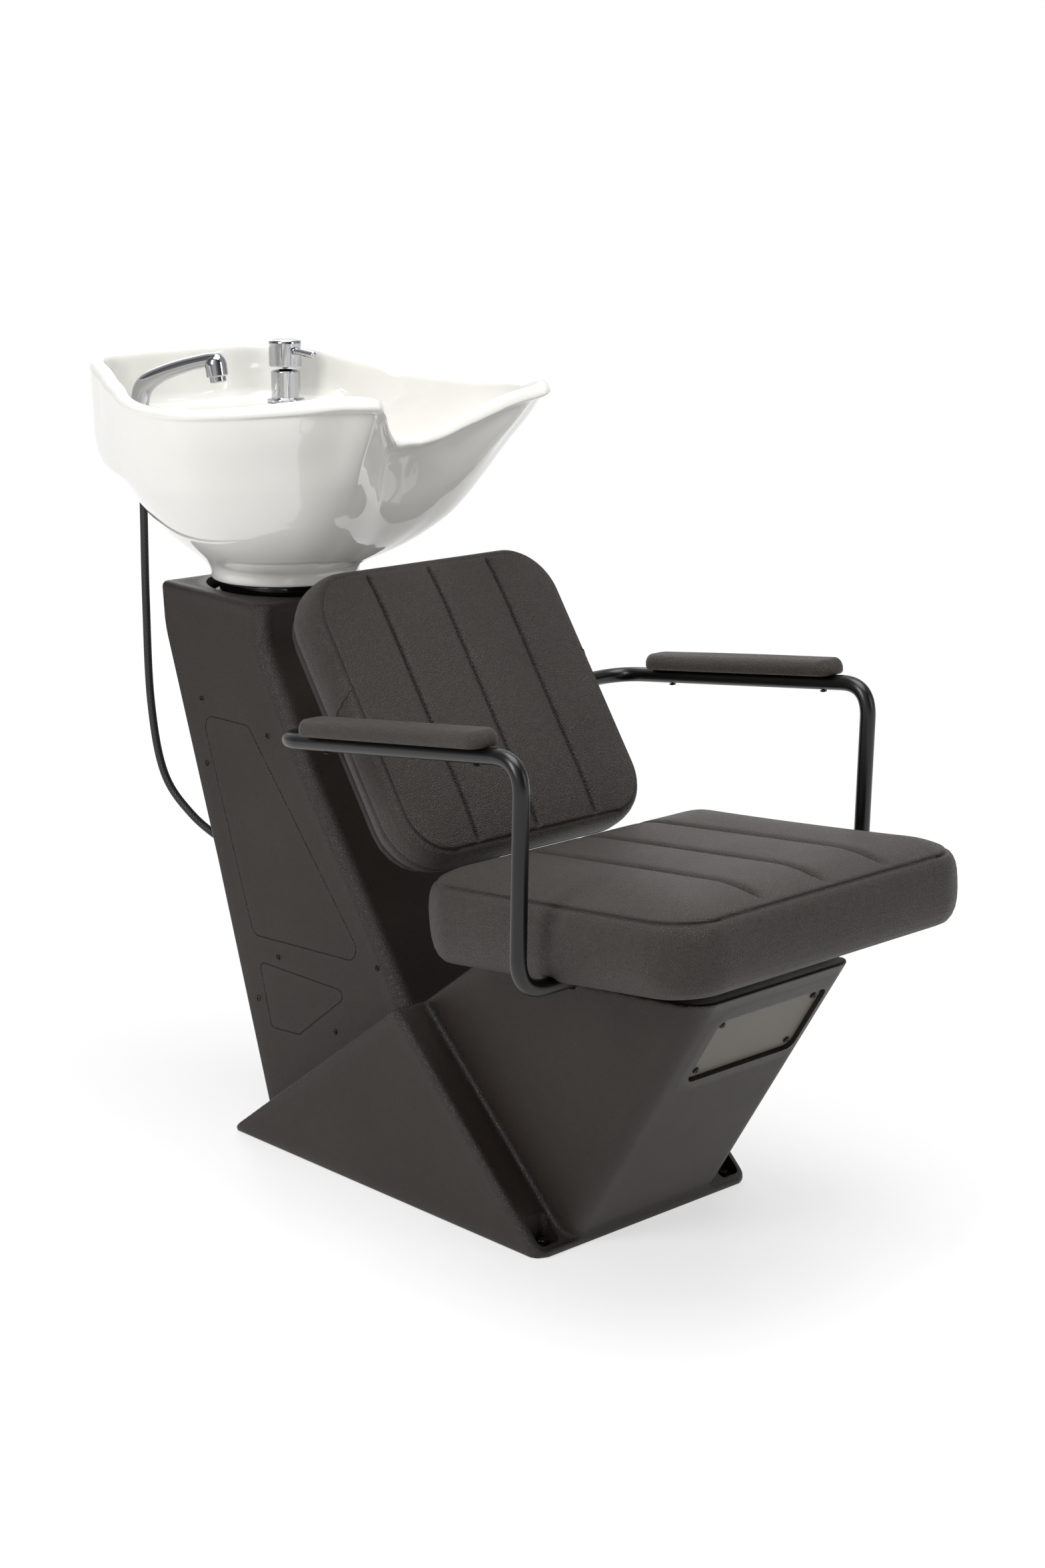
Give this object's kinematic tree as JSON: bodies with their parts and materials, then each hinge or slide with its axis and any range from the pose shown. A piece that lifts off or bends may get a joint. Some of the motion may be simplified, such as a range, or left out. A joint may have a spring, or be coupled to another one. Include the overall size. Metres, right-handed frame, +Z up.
{
  "type": "shampoo backwash unit",
  "caption": "Salon backwash: padded seat and leaning backrest with tube arms on an X-shaped moulded base, and a tilting white basin behind with mixer tap and pull-out hand shower.",
  "frame": {"origin": "on the floor, under the middle of the foot", "axes": "+Z up; the client faces -Y with the basin at +Y; +X is the client's left"},
  "size_m": [0.646, 1.2567, 1.052],
  "materials": {
    "moulded_plastic": "fine textured rotomoulded plastic, brown-black",
    "frame_steel": "bare mild steel",
    "dark_screw": "black zinc",
    "cover_plate": "smooth satin, grey-olive",
    "upholstery": "pebble-grain leatherette, charcoal black, stitched channels",
    "board": "dark stained plywood",
    "powder_coat": "satin black powder coat",
    "basin_ceramic": "glossy white glaze",
    "gloss_black": "polished black",
    "nylon": "natural beige nylon",
    "chrome": "polished chrome",
    "waste_pipe": "grey flexible waste pipe",
    "braided_hose": "black braided sleeve"
  },
  "bodies": {
    "base": {"pedestal_shell": "moulded_plastic", "column_shell": "moulded_plastic", "base_frame": "frame_steel", "tilt_pin_left": "frame_steel", "tilt_pin_right": "frame_steel", "cover_plate_screw_1": "dark_screw", "cover_plate_screw_2": "dark_screw", "cover_plate_screw_3": "dark_screw", "cover_plate_screw_4": "dark_screw", "floor_bolt_right": "dark_screw", "floor_bolt_left": "dark_screw", "column_screw_right_1": "dark_screw", "column_screw_right_2": "dark_screw", "column_screw_right_3": "dark_screw", "column_screw_right_4": "dark_screw", "column_screw_right_5": "dark_screw", "column_screw_right_6": "dark_screw", "column_screw_right_7": "dark_screw", "column_screw_left_1": "dark_screw", "column_screw_left_2": "dark_screw", "column_screw_left_3": "dark_screw", "column_screw_left_4": "dark_screw", "column_screw_left_5": "dark_screw", "column_screw_left_6": "dark_screw", "column_screw_left_7": "dark_screw", "cover_plate": "cover_plate", "seat_cushion": "upholstery", "backrest_cushion": "upholstery", "arm_pad_right": "upholstery", "arm_pad_left": "upholstery", "seat_board": "board", "backrest_board": "board", "arm_tube_right": "powder_coat", "arm_tube_left": "powder_coat", "arm_pad_screw_right_front": "dark_screw", "arm_pad_screw_right_rear": "dark_screw", "arm_seat_screw_right": "dark_screw", "backrest_screw_right": "dark_screw", "arm_pad_screw_left_front": "dark_screw", "arm_pad_screw_left_rear": "dark_screw", "arm_seat_screw_left": "dark_screw", "backrest_screw_left": "dark_screw", "waste_hose": "waste_pipe", "hot_supply_hose": "braided_hose", "cold_supply_hose": "braided_hose", "shower_hose": "braided_hose"},
    "basin": {"basin_bowl": "basin_ceramic", "basin_collar": "gloss_black", "bearing_ring": "nylon", "tilt_cradle": "frame_steel", "waste_fitting": "chrome", "mixer_body": "chrome", "mixer_nut": "frame_steel"},
    "mixer_stem": {"mixer_cartridge": "frame_steel"},
    "mixer_head": {"mixer_head": "chrome", "mixer_lever": "chrome"},
    "shower_socket": {"shower_holder": "chrome"},
    "hand_shower": {"hand_shower": "chrome", "shower_nozzle": "chrome"}
  },
  "joints": [
    {"name": "basin_tilt", "type": "hinge", "parent": "base", "child": "basin", "pos_m": [0, 0.404, 0.69], "axis": [1, 0, 0], "range_deg": [-4, 6], "deforming": ["shower_hose", "hot_supply_hose", "cold_supply_hose"]},
    {"name": "mixer_swivel", "type": "hinge", "parent": "basin", "child": "mixer_stem", "pos_m": [0.121, 0.548, 1.028], "axis": [0, 0, 1], "range_deg": [-45, 45]},
    {"name": "mixer_lift", "type": "hinge", "parent": "mixer_stem", "child": "mixer_head", "pos_m": [0.121, 0.548, 1.028], "axis": [-1, 0, 0], "range_deg": [0, 12]},
    {"name": "shower_swivel", "type": "hinge", "parent": "basin", "child": "shower_socket", "pos_m": [-0.13, 0.553, 0.963], "axis": [0, 0, 1], "range_deg": [-25, 30]},
    {"name": "shower_pull", "type": "slide", "parent": "shower_socket", "child": "hand_shower", "axis": [0, 0, 1], "range_m": [0, 0.12]}
  ]
}
